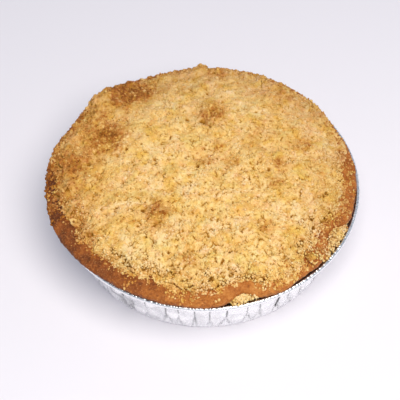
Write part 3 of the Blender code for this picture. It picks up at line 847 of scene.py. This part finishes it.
def pit_field():
    """How deep the pits and cracks between the crumbs are at each place."""
    draw = random.Random(42)
    coarse = (np.arange(FIELD_SIZE) * FIELD_STEP - FIELD_HALF)[::2]
    wobble = noise_at(coarse[None, :], coarse[:, None], 0.0, 900.0, 1.0)
    wobble = np.repeat(np.repeat(wobble, 2, axis=0), 2, axis=1)[:FIELD_SIZE, :FIELD_SIZE]
    depths = np.zeros((FIELD_SIZE, FIELD_SIZE))
    for _ in range(PIT_COUNT):
        x, y = random_place(draw)
        depth = draw.uniform(0.0004, 0.0015)
        for _ in range(draw.randint(1, 3)):
            dig(depths, wobble, x, y, draw.uniform(0.00028, 0.00048), depth)
            x, y = x + draw.uniform(-0.0006, 0.0006), y + draw.uniform(-0.0006, 0.0006)
    for _ in range(CRACK_COUNT):
        x, y = random_place(draw)
        way = draw.uniform(0, 2 * math.pi)
        for _ in range(draw.randint(4, 10)):
            dig(depths, wobble, x, y, draw.uniform(0.00025, 0.00042), draw.uniform(0.0005, 0.0011))
            way += draw.uniform(-0.8, 0.8)
            x, y = x + CRACK_STEP * math.cos(way), y + CRACK_STEP * math.sin(way)
    for at_x, at_y, spread, more in BROWNED:
        for _ in range(int(BROWNED_PITS * spread * more)):
            x, y = at_x + draw.gauss(0.0, 0.6 * spread), at_y + draw.gauss(0.0, 0.6 * spread)
            dig(depths, wobble, x, y, draw.uniform(0.00028, 0.00050), draw.uniform(0.0006, 0.0015))
    for pit_shade in PITS:
        dig(depths, wobble, *pit_shade)
    return depths


def read_field(field, x, y):
    """The field's value at places, between its steps."""
    column = np.clip((x + FIELD_HALF) / FIELD_STEP, 0, FIELD_SIZE - 1.001)
    row = np.clip((y + FIELD_HALF) / FIELD_STEP, 0, FIELD_SIZE - 1.001)
    left, low = column.astype(int), row.astype(int)
    right, up = column - left, row - low
    bottom = field[low, left] * (1 - right) + field[low, left + 1] * right
    top = field[low + 1, left] * (1 - right) + field[low + 1, left + 1] * right
    return bottom * (1 - up) + top * up


# The heap of crumbs


def edge_lumps():
    """Small lumps, as in LUMPS, all along the back and the sides of the heap."""
    draw = random.Random(8)
    lumps = []
    for degrees in range(10, 206, 3):
        angle = math.radians(degrees + draw.uniform(-1.2, 1.2))
        out = float(topping_edge_radius(np.array([angle]))[0]) - draw.uniform(0.0015, 0.0075)
        size, rise = draw.uniform(0.0013, 0.0028), draw.uniform(0.0002, 0.0023)
        lumps.append((out * math.cos(angle), out * math.sin(angle), size, rise))
    return lumps


def heap_edge_radius(angle):
    """The heap's edge with the teeth that single crumbs make in it. At the back it spills over the crust."""
    front = smooth_step(10.0, 50.0, 90.0 - degrees_between(angle, 270.0))
    teeth = (0.0011 + 0.0018 * front) * round_the_edge(angle, 18.0, 2.0)
    teeth = teeth + 0.0013 * round_the_edge(angle, 50.0, 4.0)
    away = degrees_between(angle, SPILL_MIDDLE_DEG)
    spilled = SPILL_RADIUS * (1.0 - 0.09 * smooth_step(SPILL_HALF_DEG - 12.0, SPILL_HALF_DEG + 4.0, away))
    return np.minimum(np.maximum(topping_edge_radius(angle), spilled) + teeth + 0.0003, SPILL_RADIUS + 0.0006)


def disc_net(rings):
    """An even net of triangles on a disc: each point's ring and angle, and the faces."""
    ring = np.concatenate([[0]] + [np.full(6 * k, k) for k in range(1, rings + 1)])
    angle = np.concatenate([[0.0]] + [np.arange(6 * k) * math.pi / (3 * k) for k in range(1, rings + 1)])
    faces = []
    for k in range(1, rings + 1):
        outer, inner = 1 + 3 * k * (k - 1), 1 + 3 * (k - 1) * (k - 2)
        sector = np.repeat(np.arange(6), k)
        step = np.tile(np.arange(k), 6)
        out = outer + sector * k + step
        out_next = outer + (sector * k + step + 1) % (6 * k)
        if k == 1:
            faces.append(np.stack([out, out_next, np.zeros_like(out)], axis=1))
            continue
        inside = inner + (sector * (k - 1) + step) % (6 * (k - 1))
        faces.append(np.stack([out, out_next, inside], axis=1))
        short = step < k - 1
        inside_next = inner + (sector * (k - 1) + step + 1) % (6 * (k - 1))
        faces.append(np.stack([inside, out_next, inside_next], axis=1)[short])
    return ring, angle, np.concatenate(faces)


def heap_net():
    """The net of the heap's top: each point's ring, radius and angle, the edge's radius there, the faces."""
    ring, angle, faces = disc_net(HEAP_RINGS)
    draw = np.random.default_rng(3)
    share = ring / HEAP_RINGS
    crowd = share**8
    share = share * (1.0 + EDGE_CROWDING) - EDGE_CROWDING * crowd
    inner = (ring > 0) & (ring < HEAP_RINGS - 1)
    spacing = TOPPING_RADIUS / HEAP_RINGS
    edge = heap_edge_radius(angle)
    jitter = draw.uniform(-0.3, 0.3, len(ring)) * spacing * (1.0 - 0.6 * crowd)
    radius = edge * share + np.where(inner, jitter, 0.0)
    turned = draw.uniform(-0.3, 0.3, len(ring)) * spacing / np.maximum(radius, spacing)
    return ring, radius, angle + np.where(inner, turned, 0.0), edge, faces


def heap_height(radius, angle, edge):
    """Top of the heap before its crumbs, and how much each place belongs to a gap in its edge."""
    x, y = radius * np.cos(angle), radius * np.sin(angle)
    foot = crust_height(radius)
    height = topping_height(radius, angle, 0.5) - 0.0003
    height = with_spots(height, x, y, (*LUMPS, *edge_lumps()), 2)
    edge_zone = 1.0 - smooth_step(0.0010, 0.0085, edge - radius)
    gap = edge_zone * smooth_step(0.12, 0.36, noise_at(x, y, 0.0, 300.0, 12.0))
    height = height - 0.0007 * smooth_step(0.0, 0.0030, radius - topping_edge_radius(angle))
    height = height - np.minimum(0.85 * (height - foot - 0.0002), DEEPEST_GAP) * gap
    return np.maximum(height, foot + 0.0003), gap


def below_neighbours(values, faces, rounds):
    """How far each point's value lies below the mean of the points round it."""
    start, end = np.concatenate([faces, np.roll(faces, -1, axis=1)], axis=1).T.reshape(2, -1)
    start, end = np.concatenate([start, end]), np.concatenate([end, start])
    counts = np.maximum(np.bincount(start, minlength=len(values)), 1)
    mean = values
    for _ in range(rounds):
        mean = np.bincount(start, weights=mean[end], minlength=len(values)) / counts
    return mean - values


def closed_below(top, faces, rim, angle, edge):
    """The heap's points and faces with an underside that follows the pastry, from the rim of its top."""
    lower = []
    for inward, sunk in UNDERSIDE:
        at = edge[rim] - inward
        lower.append(settle(at, angle[rim], crust_height(at) - sunk))
    points = np.concatenate([top, *lower, [[0, 0, FILLING_HEIGHT - 0.0012]]])
    step = np.arange(len(rim))
    beyond = (step + 1) % len(rim)
    loops = [rim] + [len(top) + k * len(rim) + step for k in range(len(lower))]
    sides = []
    for high, low in zip(loops, loops[1:]):
        sides.append(np.stack([high, low, low[beyond]], axis=1))
        sides.append(np.stack([high, low[beyond], high[beyond]], axis=1))
    centre = np.full(len(rim), len(points) - 1)
    sides.append(np.stack([loops[-1][beyond], loops[-1], centre], axis=1))
    return points, np.concatenate([faces, *sides]).tolist()


def make_heap(material):
    """The heap of crumbs, with relief and pits. Returns its surface, its pit shade values and the piece."""
    ring, radius, angle, edge, faces = heap_net()
    x, y = radius * np.cos(angle), radius * np.sin(angle)
    height, gap = heap_height(radius, angle, edge)
    top = settle(radius, angle, height)
    lump, lump_draw = cobbles(top, LUMP_SPACING, 3.0)
    coarse, coarse_draw = cobbles(top, COARSE_SPACING, 11.0)
    fine, fine_draw = cobbles(top, FINE_SPACING, 23.0)
    grain = 0.00072 * fine + 0.00050 * (fine_draw - 0.5)
    large = 0.00105 * coarse - 0.00030 + 0.0008 * (coarse_draw - 0.75)
    relief = np.maximum(grain, large) + 0.0012 * lump * lump_draw - 0.0009
    hole = np.minimum(read_field(pit_field(), x, y), DEEPEST_HOLE)
    at_edge = smooth_step(0.0, 0.0022, edge - radius)
    relief = relief * (0.45 + 0.55 * at_edge) * (1.0 - 0.7 * gap) - hole * at_edge
    hollow = unit(below_neighbours(relief, faces, 4) / DARKEST_HOLLOW)
    # painted shade down in the holes and the hollows
    pit_shade = np.maximum(unit(hole / DARKEST_HOLE), 0.75 * hollow)
    tint = 0.16 * (fine_draw - 0.5) + 0.18 * (coarse_draw - 0.5) + 0.10 * (lump_draw - 0.5)

    top = push_out(top, faces.tolist(), relief)
    points, faces = closed_below(top, faces, np.flatnonzero(ring == HEAP_RINGS), angle, edge)
    bake = bake_at(points[:, 0], points[:, 1])
    # darker and browner in the gaps at the heap's edge: the crust's own colour there, and painted shade
    bake[: len(top)] += 0.5 * gap
    below = np.zeros(len(points) - len(top))
    pit_shade = np.concatenate([pit_shade, below])
    values = {
        "bake": bake,
        "pit_shade": pit_shade,
        "tint": np.concatenate([tint * contrast_at(y), below]),
        "painted_dim": painted_dim_at(points[:, 0], points[:, 1]),
    }
    heap = add_piece("crumble_heap", points, faces, material, "crumble", "crumble_topping", **values)
    return (points, faces), pit_shade, heap


# Places for loose crumbs


def surface_tree(*surfaces):
    """One search tree over several surfaces (points, faces), to drop crumbs on."""
    points, faces = [], []
    for surface_points, surface_faces in surfaces:
        first = len(points)
        points += surface_points.tolist()
        faces += [[first + corner for corner in face] for face in surface_faces]
    return BVHTree.FromPolygons(points, faces)


def drop(tree, x, y, pit_shade=None, faces=None):
    """Where things dropped at these places come to lie. None stay where the pit shade values say that a hole
    is.
    """
    found = [tree.ray_cast((px, py, DROP_HEIGHT), (0, 0, -1)) for px, py in zip(x.tolist(), y.tolist())]
    found = [entry for entry in found if entry[0] is not None]
    points = np.array([entry[0] for entry in found])
    if pit_shade is None:
        return points
    hole = np.array([pit_shade[faces[entry[2]]].mean() if entry[2] < len(faces) else 0.0 for entry in found])
    return points[hole < 0.5]


def on_heap(draw, count, overhang):
    """Random places over the heap, out to a little past its edge, in the uneven pie's frame."""
    angle = draw.uniform(0, 2 * math.pi, count)
    radius = (topping_edge_radius(angle) + overhang) * np.sqrt(draw.random(count))
    return settled_places(radius, angle, topping_height(radius, angle))


def along_edge(draw, count, start_deg, end_deg, inward, outward):
    """Random places along the heap's edge between two angles."""
    angle = np.radians(draw.uniform(start_deg, end_deg, count))
    radius = topping_edge_radius(angle) + draw.uniform(-inward, outward, count)
    return settled_places(radius, angle, crust_height(radius) + TOPPING_EDGE)


def on_crust(draw, count, start_deg, end_deg, inner, outer):
    """Random places on the rolled crust, between two angles and two radii of the round pie."""
    angle = np.radians(draw.uniform(start_deg, end_deg, count))
    return settled_places(draw.uniform(inner, outer, count), angle, np.full(count, CREST_HEIGHT))


def bunches(draw, count, start_deg, end_deg, spill, reach=0.0009):
    """Places in small bunches on the rolled crust, most of them near the heap."""
    xs, ys = [], []
    for _ in range(count):
        angle = math.radians(draw.uniform(start_deg, end_deg))
        radius = float(topping_edge_radius(np.array([angle]))[0]) + draw.exponential(spill)
        if radius > LIP_RADIUS - 0.0010:
            continue
        members = draw.integers(1, 9)
        xs.append(radius * math.cos(angle) + draw.normal(0.0, reach, members))
        ys.append(radius * math.sin(angle) + draw.normal(0.0, reach, members))
    x, y = np.concatenate(xs), np.concatenate(ys)
    return settled_places(np.hypot(x, y), np.arctan2(y, x), np.full(len(x), CREST_HEIGHT))


def round_clumps(draw, clumps):
    """Places all over the upper side of each clump (x, y, z, radius), more on larger clumps."""
    places = []
    for x, y, z, radius in clumps:
        each = int(8 + 2.7e6 * radius**2)
        ways = draw.normal(size=(each, 3))
        ways[:, 2] = np.abs(ways[:, 2]) - 0.25
        ways /= np.linalg.norm(ways, axis=1)[:, None]
        places.append(np.array([x, y, z]) + ways * radius * np.array([0.95, 0.95, CLUMP_FLATNESS]))
    return np.concatenate(places)


def lumps_in_gaps(draw):
    """Lumps of crumbs (x, y, z, radius) that fill the dents between crust and rim."""
    lumps = []
    for start_deg, end_deg, step_deg, radius in GAP_FILLS:
        for degrees in np.arange(start_deg, end_deg, step_deg):
            turn = math.radians(degrees + draw.uniform(-0.3, 0.3))
            out = radius + draw.uniform(-0.0012, 0.0006)
            size = draw.uniform(0.0017, 0.0026)
            height = GAP_FILL_HEIGHT + draw.uniform(0.0, 0.0014)
            lumps.append((out * math.cos(turn), out * math.sin(turn), height, size))
    return lumps


def cluster_cores(draw, tree, x, y, low, high):
    """Middles and radii of bunches of crumbs that are stuck together on the heap."""
    places = drop(tree, x, y)
    radii = draw.uniform(low, high, len(places))
    places[:, 2] -= 0.4 * radii
    return [tuple(row) for row in np.column_stack([places, radii])]


# The loose crumbs


def crumb_shapes(subdivisions, seed, knobs):
    """Rough crumb shapes of radius 1, each the outline of a few balls stuck together."""
    mesh = bmesh.new()
    bmesh.ops.create_icosphere(mesh, subdivisions=subdivisions, radius=1.0)
    ways = np.array([corner.co[:] for corner in mesh.verts])
    faces = np.array([[corner.index for corner in face.verts] for face in mesh.faces])
    mesh.free()
    ways /= np.linalg.norm(ways, axis=1)[:, None]
    draw = np.random.default_rng(seed)
    shapes = []
    for _ in range(SHAPES_OF_A_KIND):
        middles = draw.normal(size=(knobs, 3))
        middles *= (draw.uniform(0.25, 0.55, knobs) / np.linalg.norm(middles, axis=1))[:, None]
        sizes = draw.uniform(0.42, 0.66, knobs)
        onto = ways @ middles.T
        reach = sizes**2 - (middles**2).sum(axis=1) + onto**2
        out = np.where(reach > 0, onto + np.sqrt(np.maximum(reach, 0)), 0.5).max(axis=1)
        out = out * (1 + draw.uniform(-0.10, 0.10, len(ways)))
        shapes.append(ways * (out / out.max())[:, None])
    return np.array(shapes), faces


def random_turns(draw, count):
    """Rotation matrices, evenly spread."""
    q = draw.normal(size=(count, 4))
    q /= np.linalg.norm(q, axis=1)[:, None]
    w, x, y, z = q.T
    rows = [
        [1 - 2 * (y * y + z * z), 2 * (x * y - z * w), 2 * (x * z + y * w)],
        [2 * (x * y + z * w), 1 - 2 * (x * x + z * z), 2 * (y * z - x * w)],
        [2 * (x * z - y * w), 2 * (y * z + x * w), 1 - 2 * (x * x + y * y)],
    ]
    return np.array(rows).transpose(2, 0, 1)


def scatter(name, places, sizes, subdivisions, knobs, material, seed, flat=1.0, extra_bake=0.0):
    """One joined mesh of crumbs, one at each place."""
    shapes, faces = crumb_shapes(subdivisions, seed, knobs)
    draw = np.random.default_rng(seed + 1)
    count = len(places)
    chosen = shapes[draw.integers(0, len(shapes), count)]
    chosen = chosen * draw.uniform(0.72, 1.12, (count, 1, 3))
    turned = np.einsum("nij,nvj->nvi", random_turns(draw, count), chosen)
    turned[:, :, 2] *= flat
    points = (turned * sizes[:, None, None] + places[:, None, :]).reshape(-1, 3)
    corners = shapes.shape[1]
    joined = faces[None, :, :] + (np.arange(count) * corners)[:, None, None]
    x, y = places[:, 0], places[:, 1]
    baked = bake_at(x, y)
    tints = draw.normal(0.0, 0.12, count) * (0.8 + 0.8 * unit(baked))
    values = {
        "bake": np.repeat(baked + extra_bake, corners),
        "pit_shade": np.zeros(len(points)),
        "tint": np.repeat(tints * contrast_at(y), corners),
        "painted_dim": np.repeat(painted_dim_at(x, y), corners),
    }
    return add_piece(name, points, joined.reshape(-1, 3).tolist(), material, "crumble", **values)


def make_crumbs(material, tree, heap_faces, pit_shade):
    """The loose crumbs on the heap, by size, and the bunches that stick together."""
    draw = np.random.default_rng(77)
    faces = np.array(heap_faces)
    made = []
    for name, count, edge_count, most, smallest, more, sunk, subdivisions, knobs, seed in CRUMB_KINDS:
        x, y = on_heap(draw, count, 0.0006)
        edge_x, edge_y = along_edge(draw, edge_count, 0, 360, 0.0034, 0.0010)
        places = drop(tree, np.concatenate([x, edge_x]), np.concatenate([y, edge_y]), pit_shade, faces)
        places = places[draw.permutation(len(places))[:most]]
        if name == "medium_crumbs":
            places = np.concatenate([places, drop(tree, *on_crust(draw, *MEDIUM_ON_CRUST))])
        sizes = smallest + more * draw.random(len(places)) ** 1.4
        sizes[most:] *= 1.2
        places[:, 2] -= sizes * draw.uniform(*sunk, len(places))
        made.append(scatter(name, places, sizes, subdivisions, knobs, material, seed))

    cores = list(CLUMPS) + lumps_in_gaps(draw)
    for *edge, least, largest in EDGE_CLUSTERS:
        cores += cluster_cores(draw, tree, *along_edge(draw, *edge), least, largest)
    places = round_clumps(draw, cores)
    sizes = 0.00055 + 0.00055 * draw.random(len(places)) ** 1.5
    made.append(scatter("bunched_crumbs", places, sizes, 1, 4, material, 250))
    cores = np.array(cores)
    made.append(scatter("crumb_clumps", cores[:, :3], cores[:, 3] * 0.84, 2, 9, material, 300, flat=0.8))
    return made


def make_strays(material, tree):
    """Crumbs on the rolled crust: pale ones that fell near the heap, and browned ones baked into it."""
    draw = np.random.default_rng(9)
    ways = {"bunches": bunches, "single": on_crust}
    placed = [[ways[way](draw, *row) for way, *row in strays] for _, strays, *_ in STRAY_KINDS]
    made = []
    for kind, groups in zip(STRAY_KINDS, placed):
        name, _, smallest, sunk, detail, knobs, seed, extra_bake = kind
        places = drop(tree, *np.concatenate(groups, axis=1))
        sizes = smallest + 0.00065 * draw.random(len(places)) ** 1.5
        places[:, 2] -= sizes * sunk
        made.append(scatter(name, places, sizes, detail, knobs, material, seed, extra_bake=extra_bake))
    return made


def mark_tops(tops, piece):
    """Raises the cells of tops to a piece's points. Returns each point's column, row, height and y."""
    corners = np.zeros(len(piece.data.vertices) * 3)
    piece.data.vertices.foreach_get("co", corners)
    corners = corners.reshape(-1, 3)
    column, row = np.clip((corners[:, :2] + FIELD_HALF) / TOPS_STEP, 0, len(tops) - 1).astype(int).T
    np.maximum.at(tops, (row, column), corners[:, 2])
    return column, row, corners[:, 2], corners[:, 1]


def sum_round(cells):
    """The sum of the 5 x 5 cells round each cell."""
    return sum(np.roll(cells, (up, across), axis=(0, 1)) for across in range(-2, 3) for up in range(-2, 3))


def shade_low_places(heap, loose):
    """Paints shade on each point of the crumbs, by how deep it lies below the tops of the crumbs round it."""
    cells = int(2 * FIELD_HALF / TOPS_STEP)
    tops = np.zeros((cells, cells))
    places = [mark_tops(tops, heap)]
    inside = unit(sum_round(tops > 0) / 20.0)
    places += [mark_tops(tops, piece) for piece in loose]
    count = sum_round(tops > 0)
    level = 0.65 * tops + 0.35 * sum_round(tops) / np.maximum(count, 1)
    # crumbs that lie alone, and those at the heap's foot, are less in the dark
    dimmed = np.clip((count - 8.0) / 15.0, 0.30, 1.0)
    dimmed = dimmed * (1.0 - 2.8 * inside * (1.0 - inside)) * (0.6 + 0.4 * inside)
    for piece, (column, row, height, y) in zip([heap, *loose], places):
        layer = piece.data.attributes["pit_shade"].data
        pit_shade = np.zeros(len(height))
        layer.foreach_get("value", pit_shade)
        front = 1.0 + 0.45 * smooth_step(0.020, 0.060, -y) * inside[row, column]
        deep = unit((level[row, column] - height) / SHADED_DEPTH - 0.12)
        deep = np.minimum(deep * (dimmed[row, column] * front), 1.0)
        layer.foreach_set("value", np.maximum(pit_shade, deep).astype(np.float32))


# The floor, the camera and the light


def make_floor():
    data = bpy.data.meshes.new("floor")
    corners = [(x * FLOOR_HALF, y * FLOOR_HALF, 0) for x, y in ((-1, -1), (1, -1), (1, 1), (-1, 1))]
    data.from_pydata(corners, [], [(0, 1, 2, 3)])
    material = bpy.data.materials.new("white_floor")
    nodes = Nodes(material)
    nodes.fill(nodes.shader, {"Base Color": FLOOR_COLOUR, "Roughness": 0.9, "Specular IOR Level": 0.0})
    data.materials.append(material)
    floor = add_object("floor", data)


def stand(thing, place, side, up, back):
    """Puts a camera or a lamp at a place, with its own axes turned to these."""
    turn = Matrix((side, up, back)).transposed().to_4x4()
    turn.translation = place
    thing.matrix_world = turn


def make_camera():
    """The photo's own view: the rim's middle lands on its pixel."""
    rise = math.radians(CAMERA_ELEVATION_DEG)
    back = np.array([0.0, -math.cos(rise), math.sin(rise)])
    half = PHOTO_PIXELS / 2
    yaw = math.atan((RIM_CENTRE_PIXEL[0] - half) / FOCAL_PIXELS)
    pitch = math.atan((RIM_CENTRE_PIXEL[1] - half) / FOCAL_PIXELS)
    forward, right = -back, np.array([1.0, 0.0, 0.0])
    up = np.cross(right, forward)
    ahead = forward * math.cos(yaw) - right * math.sin(yaw)
    side = right * math.cos(yaw) + forward * math.sin(yaw)
    look = ahead * math.cos(pitch) + up * math.sin(pitch)
    top = up * math.cos(pitch) - ahead * math.sin(pitch)
    camera = add_object("camera", bpy.data.cameras.new("camera"))
    camera.data.sensor_width = SENSOR_MM
    camera.data.lens = FOCAL_PIXELS / PHOTO_PIXELS * SENSOR_MM
    place = np.array([0.0, 0.0, RIM_HEIGHT]) + CAMERA_DISTANCE * back
    stand(camera, place.tolist(), side, top, -look)
    bpy.context.scene.camera = camera


def make_lamp():
    """A large round lamp above the front, turned to the pie."""
    data = bpy.data.lights.new("lamp", "AREA")
    data.shape = "DISK"
    data.size = LAMP_SIZE
    data.energy = LAMP_POWER
    data.color = LAMP_COLOUR
    back = np.array(LAMP_PLACE) - np.array(LAMP_TARGET)
    back /= np.linalg.norm(back)
    side = np.cross([0.0, 0.0, 1.0], back)
    side /= np.linalg.norm(side)
    stand(add_object("lamp", data), LAMP_PLACE, side, np.cross(back, side), back)


def make_room():
    """The pale room round the pie, whose walls are brighter than its ceiling."""
    world = bpy.data.worlds.new("room")
    nodes = Nodes(world, "Background", "Generated")
    upward = nodes.fill(nodes.new("SeparateXYZ"), {0: nodes.place})["Z"]
    items = {"Value": upward, "To Min": WALL_LIGHT, "To Max": CEILING_LIGHT}
    level = nodes.fill(nodes.new("MapRange"), items)["Result"]
    nodes.fill(nodes.shader, {"Color": ROOM_COLOUR, "Strength": level})
    bpy.context.scene.world = world
    bpy.context.scene.view_settings.view_transform = "Standard"


make_camera()
make_floor()
make_lamp()
make_room()
make_foil()
crust_surface = make_crust()
crumbs = crumb_material()
heap_surface, heap_pit_shade, heap = make_heap(crumbs)
ground = surface_tree(heap_surface, crust_surface)
loose = make_crumbs(crumbs, ground, heap_surface[1], heap_pit_shade)
loose += make_strays(crumbs, ground)
shade_low_places(heap, loose)
